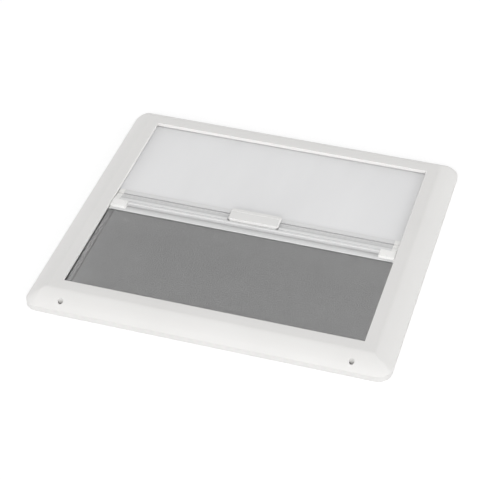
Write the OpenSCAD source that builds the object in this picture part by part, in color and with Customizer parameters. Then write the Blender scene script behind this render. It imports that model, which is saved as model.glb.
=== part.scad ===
// Roof vent frame, cabin side: a moulded frame with a blackout roller blind and an insect screen.
// Millimetres. +Z points into the cabin, the origin is the middle of the back, the screen is at -Y.

/* [Cover frame] */
// Outside width of the moulded frame, left to right
frame_w = 496; // [490:1:520]
// Outside depth of the moulded frame, near to far
frame_d = 473; // [468:1:500]
// Height of the flat top above the ceiling
frame_h = 25.2; // [24.6:0.1:27]
// Height of the upright rim round the outside
rim_h = 8; // [6:0.5:10]
// Width of the domed slope between the rim and the flat top
slope_w = 27; // [24:1:30]
// Radius of the rounding where the slope leaves the flat top
top_r = 10; // [7:0.5:12]
// How far that rounding turns down, in degrees
top_turn = 22; // [16:1:24]
// Least width of the flat top round the opening
flat_w = 8; // [6:0.5:10]
// Plan radius of the outer corners
corner_r = 20; // [12:1:28]
// Moulded wall thickness
cover_wall = 2.5; // [2:0.1:2.8]
// Rounding of the lip round the opening
lip_r = 1.2; // [0.6:0.1:1.8]
// Thickness of the turned-down lip
lip_wall = 2; // [1.5:0.1:3]
// Depth of the lip's upright face beside the guide rails
side_lip = 3.5; // [3:0.1:4]
// Depth of the lip's upright face over the fabric slots
end_lip = 4.8; // [4:0.1:5.6]

/* [Opening] */
// Clear width of the opening
opening_w = 410; // [390:1:416]
// Clear depth of the opening
opening_d = 386; // [376:1:392]
// How far the middle of the fabrics lies below the flat top
fabric_drop = 6.5; // [6.2:0.1:7]

/* [Ceiling screws] */
// Distance of each screw hole from the left or right side
screw_inset_x = 51.5; // [46:0.5:68]
// Distance of each screw hole from the near side
screw_inset_y = 10; // [9:0.5:12]
// Diameter of the through hole
screw_d = 4.2; // [3.5:0.1:5]
// Diameter of the recess for the screw head
screw_head_d = 7; // [6:0.1:8]
// Plastic under the screw head, on top of the base
screw_seat = 3; // [2:0.1:5]

/* [Base frame] */
// Thickness of the base ring
base_t = 2.5; // [2.2:0.1:3]
// Thickness of the upstands under the fabric slots
upstand_t = 2; // [1.6:0.1:2.6]
// Height of the pile seal on each upstand
pile_h = 1.3; // [0.8:0.1:2]
// Thickness of the pile seals
pile_t = 1; // [0.6:0.1:1.4]

/* [Guide rails] */
// Wall thickness of the rail extrusion
rail_wall = 1.3; // [1:0.1:1.5]
// Overall depth of the rail's channel
rail_depth = 9; // [7:0.1:11]
// Width of the rail's foot
rail_foot = 13; // [11:0.5:16]

/* [Rollers] */
// Distance of each roller's axis behind the opening's edge
roller_back = 13; // [11.5:0.1:14]
// Outer diameter of the roller tubes
tube_d = 10; // [9:0.1:10.4]
// Wall of the roller tubes
tube_wall = 1; // [0.8:0.1:1.2]
// Length of tube beyond the fabric at each end
tube_over = 1; // [0.5:0.1:2]
// Diameter of the fixed arbors and of the idle pins
arbor_d = 4; // [3:0.1:4.4]
// Reach of each arbor into its tube
arbor_reach = 170; // [120:1:190]
// Diameter of the collar on the end of each arbor
collar_d = 6.8; // [6:0.1:7]
// Length of the collar on the end of each arbor
collar_l = 4; // [2:0.5:8]
// Wire diameter of the torsion springs
spring_wire = 0.7; // [0.5:0.05:0.8]
// Turns of each torsion spring
spring_turns = 14; // [8:1:18]
// Length of each end plug inside its tube
plug_l = 14; // [8:0.5:18]
// Diameter of the flange on each end plug
flange_d = 12; // [10.8:0.1:12.4]
// Thickness of the flange on each end plug
flange_t = 1.5; // [1:0.1:2]

/* [Brackets] */
// Thickness of the roller brackets
bracket_t = 5; // [4:0.1:6]
// Width of the roller brackets
bracket_w = 12; // [11:0.1:13]
// Length of a bracket's foot beyond its upright
foot_l = 10; // [8:0.5:12]
// Thickness of a bracket's foot
foot_t = 3; // [2.5:0.1:4]
// Plastic left over each screw hole in a bracket's foot
foot_skin = 0.6; // [0.4:0.1:1]
// Side of the square tang that holds an arbor still
tang = 2.6; // [2:0.1:2.8]

/* [Fabrics] */
// Thickness of the blind and of the insect screen
fabric_t = 0.3; // [0.2:0.05:0.4]
// How far each fabric edge reaches into its guide rail
fabric_tuck = 3; // [2:0.1:4]
// Diameter of the keder rods that hold the fabrics in their bars
keder_d = 1.4; // [1.1:0.1:1.5]
// Distance of the screen's keder from the edge of its bar
screen_keder_in = 2.3; // [2.1:0.1:2.6]
// Distance of the blind's keder from the edge of its bar
blind_keder_in = 3; // [2.5:0.1:3.5]
// Openings across the screen, which stand for its mesh
mesh_across = 12; // [6:1:12]
// Rows of those openings
mesh_rows = 5; // [3:1:6]
// Width of the strips between them
mesh_strip = 3; // [2:0.5:5]

/* [Drawbars] */
// Place of the seam between the bars, from the middle of the opening
seam_y = -0.5; // [-20:0.5:20]
// Width of the screen's drawbar, from the seam
screen_bar_w = 19.8; // [19.6:0.1:22]
// Width of the screen bar's box under its ridge and groove
screen_body_w = 12; // [11:0.1:14]
// Width of the blind's drawbar, from the seam
blind_bar_w = 28.3; // [27:0.1:30]
// Width of the blind bar's box under its ridge and band
blind_body_w = 14.2; // [13:0.1:15]
// Gap at the seam between the two bars
seam = 0.4; // [0.3:0.05:0.6]
// Height of the bars' ridges over the fabrics
ridge_up = 4; // [3.8:0.1:4.4]
// Width of the blind bar's ridge
blind_ridge_w = 5.4; // [5.3:0.1:6]
// Drop from the blind bar's ridge to its sloping band
band_drop = 1.1; // [0.8:0.1:1.6]
// Height of the bars' fabric edges over the fabrics
flange_up = 1.4; // [1.2:0.1:1.8]
// Thickness of the flanges that hold the keders
flange_deep = 3.2; // [2.8:0.1:3.6]
// Radius of the fine rib along the blind bar's band
rib_r = 0.5; // [0.3:0.05:0.7]
// Distance of that rib from the ridge
rib_in = 7.6; // [6:0.1:8.6]
// Distance of the blind bar's groove from the seam
slot_from = 16.6; // [16:0.1:17]
// Width of that groove
slot_w = 2.9; // [2:0.1:3]
// Depth of that groove
slot_deep = 1.8; // [1:0.1:2]
// Depth of the bars below the fabrics
bar_down = 5.4; // [5.2:0.1:6]
// Wall thickness of the bars
bar_wall = 1.2; // [1:0.05:1.3]
// Width of the screen bar's ridge
screen_ridge_w = 5; // [5:0.1:5.6]
// Depth of the finger groove beside that ridge
groove_deep = 5; // [4.6:0.1:5.2]
// Distance of the groove's shallow end from the seam
groove_to = 14.5; // [12:0.1:15]
// Rounding of the ridges' edges
ridge_r = 0.8; // [0.4:0.1:1]
// Rounding of the ridges along the seam
seam_r = 1.7; // [1:0.1:2]

/* [End caps] */
// Visible length of the screen bar's end caps
screen_cap_l = 22.4; // [18:0.1:26]
// Width of the screen bar's end caps, from the seam
screen_cap_w = 15.6; // [15:0.1:15.8]
// Visible length of the blind bar's end caps
blind_cap_l = 7.8; // [6:0.1:10]
// Thickness of the screen caps' end plates
cap_end = 1.5; // [1:0.1:2]
// Length of the plug on each cap inside its bar
cap_plug_l = 8; // [5:0.5:12]
// How far the screen caps stand above the ridges
cap_up = 0.8; // [0.4:0.1:1.2]
// Rounding of the screen caps' outer edges
cap_r = 1.6; // [0.8:0.1:2]
// Thickness of the sliding shoes
shoe_t = 2.4; // [1.8:0.1:2.8]
// Distance of the sliding shoes from the seam
shoe_from = 3; // [2:0.1:4]
// Distance of the sliding shoes from the bars' outer edges
shoe_in = 2; // [1:0.1:3]

/* [Latch handle] */
// Width of the handle
handle_w = 72; // [66:1:84]
// Reach of the handle from the seam
handle_d = 24.5; // [22:0.1:26]
// Height of the handle's top over the ridges
handle_up = 3.6; // [3.4:0.1:4.2]
// Height of the handle's skirt
handle_t = 3.3; // [2.8:0.1:3.4]
// Wall thickness of the handle
handle_wall = 1.6; // [1.2:0.1:1.8]
// Plan radius of the handle's corners
handle_r = 3; // [2.2:0.1:4]
// Bevel along the handle's ends
handle_bevel = 1.2; // [0.6:0.1:1.4]
// Rounding of the handle's far edge
handle_nose_r = 1.4; // [0.8:0.1:1.6]
// Depth of the handle's front apron below the ridges
apron_drop = 1.5; // [1:0.1:1.8]
// Distance of the handle's grip bead from its far edge
bead_in = 6.5; // [5:0.1:8]
// Radius of the handle's grip bead
bead_r = 0.5; // [0.3:0.05:0.8]

/* [Latch] */
// Depth of the handle's seat below the ridges
seat_drop = 3.2; // [3.1:0.1:3.4]
// Wall of the blind's bar under that seat
seat_wall = 0.8; // [0.6:0.1:1]
// Diameter of the latch pin
pin_d = 1.6; // [1.4:0.1:1.7]
// Distance of the latch pin from the seam
pin_back = 4; // [3.9:0.05:4.1]
// Wall round the latch pin in each lug
lug_wall = 0.5; // [0.4:0.05:0.6]
// Width of the lugs on the latch pin
lug_w = 4; // [3:0.1:5]
// Distance of the bar's lugs from the middle
bar_lug_x = 20; // [18:0.5:22]
// Gap between the bar's lugs and the handle's lugs
lug_gap = 1.5; // [0.5:0.1:2]
// Width of the latch arm
arm_w = 20; // [14:1:22]
// Thickness of the latch arm
arm_t = 1; // [0.8:0.05:1.1]
// Height of the latch arm over the floor of the bars
arm_lift = 2; // [1.7:0.1:2.2]
// Room behind the latch arm for its swing
arm_swing = 1.2; // [1.1:0.1:1.6]
// Depth of the keeper's lower edge below the ridges
keeper_drop = 4.3; // [4.1:0.1:4.4]
// Thickness of the steel keeper
keeper_t = 0.8; // [0.7:0.05:0.9]
// Thickness of the latch nose
nose_t = 1; // [0.9:0.05:1.1]
// Gap between the latch nose and the keeper
nose_gap = 0.5; // [0.5:0.05:0.6]
// Engagement of the latch nose behind the keeper
hook = 0.8; // [0.6:0.05:0.9]
// Wire diameter of the latch spring
latch_wire = 0.4; // [0.3:0.05:0.4]
// Turns of the latch spring
latch_turns = 8; // [5:1:8]

/* [Fasteners] */
// Shank diameter of the assembly screws
fixing_d = 2.9; // [2.5:0.1:3]
// Head diameter of the assembly screws
fixing_head_d = 5.6; // [5:0.1:5.8]
// Head height of the assembly screws
fixing_head_h = 1.3; // [1:0.1:1.5]
// Width across the corners of the screws' sockets
socket_d = 2.4; // [1.6:0.1:2.6]
// Depth of the screws' sockets
socket_h = 0.9; // [0.6:0.1:1.2]
// Length of the frame screws in the cover's bosses
fixing_grip = 7; // [5:0.5:7.5]
// Wall of the bosses round the frame screws
boss_wall = 2; // [1.5:0.1:2.2]
// Distance of the frame screws from the outer edge
fixing_inset = 12; // [11:0.5:13]
// Distance of the middle frame screws either side of the middle
fixing_pitch = 120; // [90:1:150]
// Distance of the outer rail screws from the middle
rail_screw_pitch = 160; // [120:1:180]
// Gap between the heads of a bracket's two screws
foot_screw_gap = 1; // [0.6:0.1:1.4]

/* [Clearances] */
// Gap between the base ring and the cover's rim
rim_gap = 0.3; // [0.2:0.05:0.5]
// Gap between the opening's edge and the guide rails
rail_gap = 0.6; // [0.4:0.05:1]
// Gap between the guide rails' ends and the wound fabric
rail_end_gap = 3; // [2:0.1:4]
// Gap between pieces that slide or nearly touch
slide_gap = 0.3; // [0.25:0.05:0.4]
// Gap between pieces that are pushed together
join_gap = 0.1; // [0.05:0.01:0.15]
// Radial running clearance of pins and arbors
run_gap = 0.05; // [0.02:0.01:0.08]
// Radial clearance of the keders in their channels
keder_gap = 0.2; // [0.1:0.05:0.25]
// Gap between the bars' ends and the opening's sides
end_gap = 0.6; // [0.4:0.1:1]
// Gap between the seam and the handle's front
handle_gap = 0.2; // [0.15:0.05:0.4]
// Gap between the latch arm and the blind bar's wall
arm_gap = 0.4; // [0.3:0.05:0.45]
// Gap at each side of the latch arm
arm_side = 1; // [0.5:0.1:1.5]

/* [Hidden] */
$fn = 64;
dome_fn = 180;
cut = 1; // overshoot of cutting solids
weld = 0.5; // overlap of walls that are made in one piece
frame_colour = [0.87, 0.865, 0.855];
cap_colour = [0.92, 0.915, 0.905];
bar_colour = [0.84, 0.84, 0.84];
rail_colour = [0.8, 0.8, 0.8];
base_colour = [0.78, 0.78, 0.77];
nylon_colour = [0.72, 0.72, 0.7];
steel_colour = [0.62, 0.63, 0.65];
blind_colour = [0.875, 0.875, 0.875];
screen_colour = [0.53, 0.53, 0.53];
pile_colour = [0.3, 0.3, 0.31];

// Cover: the slope is a small arc that is level at the flat top, then a large one down to the rim
side_border = (frame_w - opening_w) / 2;
end_border = (frame_d - opening_d) / 2;
slope_run = min(slope_w, side_border - flat_w, end_border - flat_w);
slope_drop = frame_h - rim_h;
top_x = top_r * sin(top_turn);
top_fall = top_r * (1 - cos(top_turn));
side_run = slope_run - top_x;
side_fall = slope_drop - top_fall;
side_bend = atan2(side_fall, side_run) - top_turn;
side_r = norm([side_run, side_fall]) / (2 * sin(side_bend));
side_x = top_x - side_r * sin(top_turn);
side_z = frame_h - top_fall - side_r * cos(top_turn);
fabric_z = frame_h - fabric_drop;
side_lip_z = frame_h - side_lip;
end_lip_z = frame_h - end_lip;
half_w = opening_w / 2;
half_d = opening_d / 2;
screw_x = frame_w / 2 - screw_inset_x;
screw_y = screw_inset_y - frame_d / 2;
screw_boss_d = screw_head_d + 2 * cover_wall;
fixing_boss_d = fixing_d + 2 * boss_wall;

// Base ring, upstands and seals
base_inset = cover_wall + rim_gap;
base_side = half_w + rail_gap;
pile_top = fabric_z - fabric_t / 2 - slide_gap;
upstand_z = pile_top - pile_h;

// Sliding shoes and the guide rails round them
shoe_top = fabric_z - fabric_t / 2 - slide_gap;
shoe_low = shoe_top - shoe_t;
mouth_top = side_lip_z - rail_wall;
mouth_low = shoe_low - slide_gap;
rail_back = rail_gap + rail_depth;
shoe_x = half_w + rail_back - rail_wall - slide_gap;
rail_screw_x = half_w + rail_gap + rail_foot - fixing_head_d;

// Rollers: half of each fabric is wound on when the bars are half way
tube_r = tube_d / 2;
bore_r = tube_r - tube_wall;
arbor_r = arbor_d / 2;
roll_r = sqrt(tube_r * tube_r + half_d * fabric_t / PI);
roller_y = half_d + roller_back;
roller_z = fabric_z + fabric_t / 2 - roll_r;
rail_y = roller_y - roll_r - rail_end_gap;
fabric_x = half_w + fabric_tuck;
tube_x = fabric_x + tube_over;
flange_x = tube_x + flange_t;
bracket_x = flange_x + slide_gap;
foot_run = min(foot_l, frame_w / 2 - base_inset - bracket_x - bracket_t);
foot_x = bracket_x + bracket_t + foot_run / 2;
foot_screw_y = (fixing_head_d + foot_screw_gap) / 2;
foot_hole_h = foot_t - foot_skin;
spring_r = (arbor_r + bore_r) / 2;
arbor_x = tube_x - arbor_reach;
roll_meet = sqrt(roll_r * roll_r - pow(roll_r - fabric_t, 2));
sheet_end = roller_y - roll_meet - slide_gap;

// Drawbars, measured outwards from the seam
bar_from = seam / 2;
ridge_z = fabric_z + ridge_up;
flange_z = fabric_z + flange_up;
flange_low = flange_z - flange_deep;
band_z = ridge_z - band_drop;
bar_low = fabric_z - bar_down;
chamber_from = bar_from + bar_wall;
chamber_low = bar_low + bar_wall;
channel_r = keder_d / 2 + keder_gap;
keder_slot = fabric_t + 2 * slide_gap;
screen_keder_v = screen_bar_w - screen_keder_in;
blind_keder_v = blind_bar_w - blind_keder_in;
groove_z = ridge_z - groove_deep;
screen_chamber_top = ridge_z - bar_wall;
screen_hollow_to = screen_body_w - bar_wall;
screen_hollow_top = groove_z - bar_wall;
seat_z = ridge_z - seat_drop;
blind_chamber_to = blind_body_w - bar_wall;
blind_chamber_top = seat_z - seat_wall;
slot_to = slot_from + slot_w;
rib_v = blind_ridge_w + rib_in;
rib_z = band_z - (band_z - flange_z) * rib_in / (slot_from - blind_ridge_w);
cap_x = half_w - end_gap;
screen_notch_x = cap_x - screen_cap_l;
screen_bar_x = cap_x - cap_end;
blind_bar_x = cap_x - blind_cap_l;

// Latch
handle_top = ridge_z + handle_up;
handle_low = handle_top - handle_t;
handle_roof = handle_top - handle_wall;
handle_from = bar_from + handle_gap;
seat_x = handle_w / 2 + arm_side;
pin_r = pin_d / 2;
lug_r = pin_r + run_gap + lug_wall;
pin_z = seat_z + lug_r + slide_gap;
handle_lug_x = bar_lug_x + lug_w + lug_gap;
pin_x = handle_lug_x + lug_w + lug_gap;
window_x = arm_w / 2 + arm_side;
arm_v = chamber_from + arm_gap;
arm_low = chamber_low + arm_lift;
keeper_low = ridge_z - keeper_drop;
keeper_v = chamber_from + keeper_t;
nose_v = keeper_v + nose_gap;
nose_top = keeper_low + hook;
keeper_room = keeper_v + slide_gap;
nose_room = nose_v + nose_t + slide_gap;
nose_room_top = nose_top + slide_gap;
latch_spring_r = pin_r + latch_wire;
latch_spring_x = window_x + latch_wire;
latch_spring_l = bar_lug_x - latch_spring_x - latch_wire;

// Shared shapes

// A quarter disc in the first quadrant
module quarter(r) {
    intersection() {
        circle(r);
        square(r);
    }
}

// Copies its child into the four corners of a rectangle, turned to face outwards
module in_corners(w, d) {
    translate([w / 2, d / 2]) children();
    translate([-w / 2, d / 2]) rotate(90) children();
    translate([-w / 2, -d / 2]) rotate(180) children();
    translate([w / 2, -d / 2]) rotate(270) children();
}

module rounded_rect(w, d, r) {
    square([w - 2 * r, d], center = true);
    square([w, d - 2 * r], center = true);
    in_corners(w - 2 * r, d - 2 * r) quarter(r);
}

// The sliver that rounds a square corner at the origin, whose solid lies towards -X and -Y
module round_off(r) {
    translate([-r, -r]) difference() {
        square(r + cut);
        circle(r);
    }
}

// A section drawn in Y and Z, extruded along X
module along_x(l) {
    rotate([90, 0, 90]) linear_extrude(l, center = true) children();
}

// The same between two places on X
module from_to_x(x0, x1) {
    translate([(x0 + x1) / 2, 0, 0]) along_x(x1 - x0) children();
}

// A section drawn in X and Z, extruded along Y
module along_y(l) {
    rotate([90, 0, 0]) linear_extrude(l, center = true) children();
}

// A round bar along X from x0 to x1
module rod(x0, x1, r) {
    translate([x0, 0, 0]) rotate([0, 90, 0]) cylinder(x1 - x0, r, r);
}

// A helix of round wire along X, as one closed tube
module helix(length, turns, r, wire) {
    steps = 8 * turns;
    sides = 6;
    points = [
        for (i = [0:steps], k = [0:sides - 1])
        let (
            turn = 360 * turns * i / steps,
            around = 360 * k / sides,
            out = r + wire / 2 * cos(around)
        )
        [length * i / steps + wire / 2 * sin(around), out * cos(turn), out * sin(turn)]
    ];
    walls = [
        for (i = [0:steps - 1], k = [0:sides - 1], half = [0, 1])
        let (
            a = i * sides + k,
            b = i * sides + (k + 1) % sides
        )
        half == 0 ? [a, b, b + sides] : [a, b + sides, a + sides]
    ];
    last = steps * sides;
    start_cap = [for (k = [1:sides - 2]) [0, k + 1, k]];
    end_cap = [for (k = [1:sides - 2]) [last, last + k, last + k + 1]];
    polyhedron(points, concat(walls, start_cap, end_cap));
}

// Cover frame

// A disc carried straight down below its middle
module drop_disc(x, z, r) {
    translate([x, z]) circle(r, $fn = dome_fn);
    translate([x - r, z - 2 * frame_h]) square([2 * r, 2 * frame_h]);
}

// The flat top and one slope, from the flat's end at zero, inset by a wall
module slope_section(flat, inset, low) {
    turn = (top_r - inset) * sin(top_turn);
    high = frame_h - inset - low;
    translate([-flat, low]) square([flat, high]);
    intersection() {
        translate([0, low]) square([turn, high]);
        drop_disc(0, frame_h - top_r, top_r - inset);
    }
    intersection() {
        translate([turn, low]) square([slope_run - inset - turn, high]);
        drop_disc(side_x, side_z, side_r - inset);
    }
}

// The domed section across a frame of length l, inset by a wall
module dome_section(l, inset, low) {
    flat = l / 2 - slope_run;
    for (side = [0, 1]) mirror([side, 0]) translate([flat, 0]) slope_section(flat, inset, low);
}

module dome_across(inset, low) {
    along_x(frame_w - 2 * inset) dome_section(frame_d, inset, low);
}

module dome_along(inset, low) {
    along_y(frame_d - 2 * inset) dome_section(frame_w, inset, low);
}

// One rounded corner of the dome
module dome_corner(inset, low) {
    rotate_extrude(angle = 90) intersection() {
        translate([0, low]) square([corner_r - inset, frame_h - inset - low]);
        translate([corner_r - slope_run, 0]) slope_section(corner_r, inset, low);
    }
}

// The whole domed block, mitred inside its corners and rounded outside them
module dome(inset, low) {
    corner_w = frame_w - 2 * corner_r;
    corner_d = frame_d - 2 * corner_r;
    difference() {
        intersection() {
            dome_across(inset, low);
            dome_along(inset, low);
        }
        in_corners(corner_w, corner_d) translate([0, 0, low - cut])
            cube([corner_r + cut, corner_r + cut, frame_h + 2 * cut - low]);
    }
    in_corners(corner_w, corner_d) dome_corner(inset, low);
}

// The section of the opening, flared by the lip's rounding
module opening_section(l) {
    square([l, 2 * (frame_h + cut)], center = true);
    translate([0, frame_h]) difference() {
        square([l + 2 * lip_r, 2 * lip_r], center = true);
        for (s = [-1, 1]) translate([s * (l / 2 + lip_r), -lip_r]) circle(lip_r);
    }
}

module opening_cut() {
    intersection() {
        along_x(frame_w) opening_section(opening_d);
        along_y(frame_d) opening_section(opening_w);
    }
}

// The lip turned down round the opening
module lips() {
    top = frame_h - cover_wall + weld;
    for (s = [-1, 1]) {
        translate([s * (half_w + lip_wall / 2), 0, (side_lip_z + top) / 2])
            cube([lip_wall, opening_d + 2 * lip_wall, top - side_lip_z], center = true);
        translate([0, s * (half_d + lip_wall / 2), (end_lip_z + top) / 2])
            cube([opening_w, lip_wall, top - end_lip_z], center = true);
    }
}

module at_ceiling_screws() {
    for (s = [-1, 1]) translate([s * screw_x, screw_y, 0]) children();
}

module at_end_fixings() {
    for (sx = [-1, 1], sy = [-1, 1])
        translate([sx * fixing_pitch, sy * (frame_d / 2 - fixing_inset), 0]) children();
}

module at_corner_fixings() {
    for (sx = [-1, 1], sy = [-1, 1])
        translate([sx * (frame_w / 2 - fixing_inset), sy * (frame_d / 2 - fixing_inset), 0]) children();
}

// A boss that stands on the base and is trimmed to the dome
module boss(d) {
    translate([0, 0, base_t]) cylinder(frame_h, d = d);
}

module fixing_pilot() {
    translate([0, 0, base_t - cut])
        cylinder(cut + fixing_grip + slide_gap, d = fixing_d + 2 * run_gap);
}

module cover_frame() {
    color(frame_colour) difference() {
        union() {
            difference() {
                dome(0, 0);
                dome(cover_wall, -cut);
                opening_cut();
            }
            lips();
            intersection() {
                dome_across(cover_wall / 2, 0);
                union() {
                    at_ceiling_screws() boss(screw_boss_d);
                    at_end_fixings() boss(fixing_boss_d);
                }
            }
            intersection() {
                dome(cover_wall / 2, 0);
                at_corner_fixings() boss(fixing_boss_d);
            }
        }
        at_ceiling_screws() {
            translate([0, 0, -cut]) cylinder(frame_h, d = screw_d);
            translate([0, 0, base_t + screw_seat]) cylinder(frame_h, d = screw_head_d);
        }
        at_end_fixings() fixing_pilot();
        at_corner_fixings() fixing_pilot();
    }
}

// Base frame

// The hole and the sunk seat of a screw that comes up through the base
module fixing_hole() {
    translate([0, 0, -cut]) cylinder(base_t + 2 * cut, d = fixing_d + 2 * run_gap);
    translate([0, 0, -cut]) cylinder(cut + join_gap + fixing_head_h, d = fixing_head_d + 2 * join_gap);
}

module at_bracket_screws() {
    for (sx = [-1, 1], sy = [-1, 1], row = [-1, 1])
        translate([sx * foot_x, sy * roller_y + row * foot_screw_y, 0]) children();
}

module at_rail_screws() {
    for (sx = [-1, 1], y = [-rail_screw_pitch, 0, rail_screw_pitch])
        translate([sx * rail_screw_x, y, 0]) children();
}

module base_frame() {
    color(base_colour) difference() {
        union() {
            linear_extrude(base_t)
                rounded_rect(frame_w - 2 * base_inset, frame_d - 2 * base_inset, corner_r - base_inset);
            for (s = [-1, 1])
                translate([0, s * (half_d + upstand_t / 2), upstand_z / 2])
                    cube([opening_w, upstand_t, upstand_z], center = true);
        }
        cube([2 * base_side, opening_d, 3 * frame_h], center = true);
        at_ceiling_screws() translate([0, 0, -cut]) cylinder(base_t + 2 * cut, d = screw_d);
        at_end_fixings() fixing_hole();
        at_corner_fixings() fixing_hole();
        at_bracket_screws() fixing_hole();
        at_rail_screws() fixing_hole();
    }
}

module pile_seal(side) {
    color(pile_colour)
        translate([0, side * (half_d + upstand_t / 2), upstand_z + pile_h / 2])
            cube([opening_w, pile_t, pile_h], center = true);
}

module blind_pile_seal() { pile_seal(1); }
module screen_pile_seal() { pile_seal(-1); }

// Guide rails

module rail_section() {
    mouth = mouth_top - mouth_low;
    difference() {
        translate([rail_gap, mouth_low - rail_wall]) square([rail_depth, mouth + 2 * rail_wall]);
        translate([rail_gap - cut, mouth_low]) square([rail_depth - rail_wall + cut, mouth]);
    }
    translate([rail_gap, base_t]) square([rail_wall, mouth_low - base_t]);
    translate([rail_gap, base_t]) square([rail_foot, rail_wall]);
}

module guide_rail() {
    color(rail_colour) difference() {
        translate([half_w, 0, 0]) along_y(2 * rail_y) rail_section();
        at_rail_screws() translate([0, 0, base_t - cut])
            cylinder(rail_wall + 2 * cut, d = fixing_d + 2 * run_gap);
    }
}

module guide_rail_right() { guide_rail(); }
module guide_rail_left() { mirror([1, 0, 0]) guide_rail(); }

// Roller brackets, drawn for the right-hand end with the roller's axis on X

module at_roller(side) {
    translate([0, side * roller_y, roller_z]) children();
}

module bracket_section() {
    down = roller_z - base_t;
    translate([-bracket_w / 2, -down]) square([bracket_w, down]);
    intersection() {
        circle(d = bracket_w);
        translate([-bracket_w / 2, 0]) square(bracket_w);
    }
}

module bracket() {
    foot_from = bracket_x + bracket_t - weld;
    difference() {
        union() {
            from_to_x(bracket_x, bracket_x + bracket_t) bracket_section();
            translate([foot_from, -bracket_w / 2, base_t - roller_z])
                cube([foot_run + weld, bracket_w, foot_t]);
        }
        for (row = [-1, 1]) translate([foot_x, row * foot_screw_y, base_t - roller_z - cut])
            cylinder(foot_hole_h + cut, d = fixing_d + 2 * run_gap);
    }
}

module idle_bracket(side) {
    color(nylon_colour) at_roller(side) mirror([1, 0, 0]) difference() {
        bracket();
        rod(bracket_x - cut, bracket_x + bracket_t + cut, arbor_r + run_gap);
    }
}

module spring_bracket(side) {
    hole = tang + 2 * run_gap;
    color(nylon_colour) at_roller(side) difference() {
        bracket();
        translate([bracket_x + bracket_t / 2, 0, 0])
            cube([bracket_t + 2 * cut, hole, hole], center = true);
    }
}

module blind_idle_bracket() { idle_bracket(1); }
module screen_idle_bracket() { idle_bracket(-1); }
module blind_spring_bracket() { spring_bracket(1); }
module screen_spring_bracket() { spring_bracket(-1); }

// Rollers

// The fixed arbor: a collar that holds the spring, a round shaft, and a square tang in the bracket
module spring_arbor(side) {
    color(steel_colour) at_roller(side) {
        rod(arbor_x, bracket_x, arbor_r);
        rod(arbor_x, arbor_x + collar_l, collar_d / 2);
        translate([bracket_x - weld, -tang / 2, -tang / 2]) cube([bracket_t + weld, tang, tang]);
    }
}

module roller_tube(side) {
    color(rail_colour) at_roller(side) difference() {
        rod(-tube_x, tube_x, tube_r);
        rod(-tube_x - cut, tube_x + cut, bore_r);
    }
}

// The plug that fills a tube's end, with its flange outside
module plug() {
    rod(tube_x - plug_l, tube_x, bore_r - run_gap);
    rod(tube_x, flange_x, flange_d / 2);
}

module idle_plug(side) {
    color(nylon_colour) at_roller(side) mirror([1, 0, 0]) {
        plug();
        rod(flange_x - weld, bracket_x + bracket_t + weld, arbor_r);
    }
}

module spring_plug(side) {
    color(nylon_colour) at_roller(side) difference() {
        plug();
        rod(tube_x - plug_l - cut, flange_x + cut, arbor_r + run_gap);
    }
}

module torsion_spring(side) {
    start = arbor_x + collar_l + slide_gap + spring_wire / 2;
    end = tube_x - plug_l - slide_gap - spring_wire / 2;
    color(steel_colour) at_roller(side) translate([start, 0, 0])
        helix(end - start, spring_turns, spring_r, spring_wire);
}

module fabric_roll(side, colour) {
    color(colour) at_roller(side) difference() {
        rod(-fabric_x, fabric_x, roll_r);
        rod(-fabric_x - cut, fabric_x + cut, tube_r + run_gap);
    }
}

module blind_spring_arbor() { spring_arbor(1); }
module screen_spring_arbor() { spring_arbor(-1); }
module blind_roller_tube() { roller_tube(1); }
module screen_roller_tube() { roller_tube(-1); }
module blind_idle_plug() { idle_plug(1); }
module screen_idle_plug() { idle_plug(-1); }
module blind_spring_plug() { spring_plug(1); }
module screen_spring_plug() { spring_plug(-1); }
module blind_torsion_spring() { torsion_spring(1); }
module screen_torsion_spring() { torsion_spring(-1); }
module blind_fabric_roll() { fabric_roll(1, blind_colour); }
module screen_fabric_roll() { fabric_roll(-1, screen_colour); }

// Everything on the bars stands at the seam
module at_seam() {
    translate([0, seam_y, 0]) children();
}

// Fabrics: a sheet from its roll to its bar, with a narrower tail up to the keder inside the bar

module sheet(bar_y, bar_w, keder_v, tail_x) {
    from = bar_y + bar_w + slide_gap;
    tail = bar_y + keder_v + keder_d / 2 + run_gap;
    translate([-fabric_x, from, fabric_z - fabric_t / 2])
        cube([2 * fabric_x, sheet_end - from, fabric_t]);
    translate([-tail_x, tail, fabric_z - fabric_t / 2])
        cube([2 * tail_x, from + weld - tail, fabric_t]);
}

module keder(keder_v, end_x) {
    translate([0, keder_v, fabric_z]) rod(-end_x, end_x, keder_d / 2);
}

module blackout_blind() {
    color(blind_colour) sheet(seam_y, blind_bar_w, blind_keder_v, blind_bar_x - weld);
}

// The openings that stand for the mesh, between the screen's bar and the lip
module mesh_openings() {
    from = screen_bar_w - seam_y;
    across = (opening_w - mesh_strip) / mesh_across;
    along = (half_d - from - mesh_strip) / mesh_rows;
    for (i = [0:mesh_across - 1], k = [0:mesh_rows - 1])
        translate([mesh_strip + i * across - half_w, from + mesh_strip + k * along, fabric_z - cut])
            cube([across - mesh_strip, along - mesh_strip, 2 * cut]);
}

module insect_screen() {
    color(screen_colour) mirror([0, 1, 0]) difference() {
        sheet(-seam_y, screen_bar_w, screen_keder_v, screen_bar_x - weld);
        mesh_openings();
    }
}

module blind_keder() {
    color(nylon_colour) at_seam() keder(blind_keder_v, blind_bar_x - weld);
}

module screen_keder() {
    color(nylon_colour) at_seam() mirror([0, 1, 0]) keder(screen_keder_v, screen_bar_x - weld);
}

// Drawbars: sections measured outwards from the seam and up from the back

module keder_channel(keder_v, edge) {
    translate([keder_v, fabric_z]) circle(channel_r);
    translate([keder_v, fabric_z - keder_slot / 2]) square([edge - keder_v + cut, keder_slot]);
}

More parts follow.
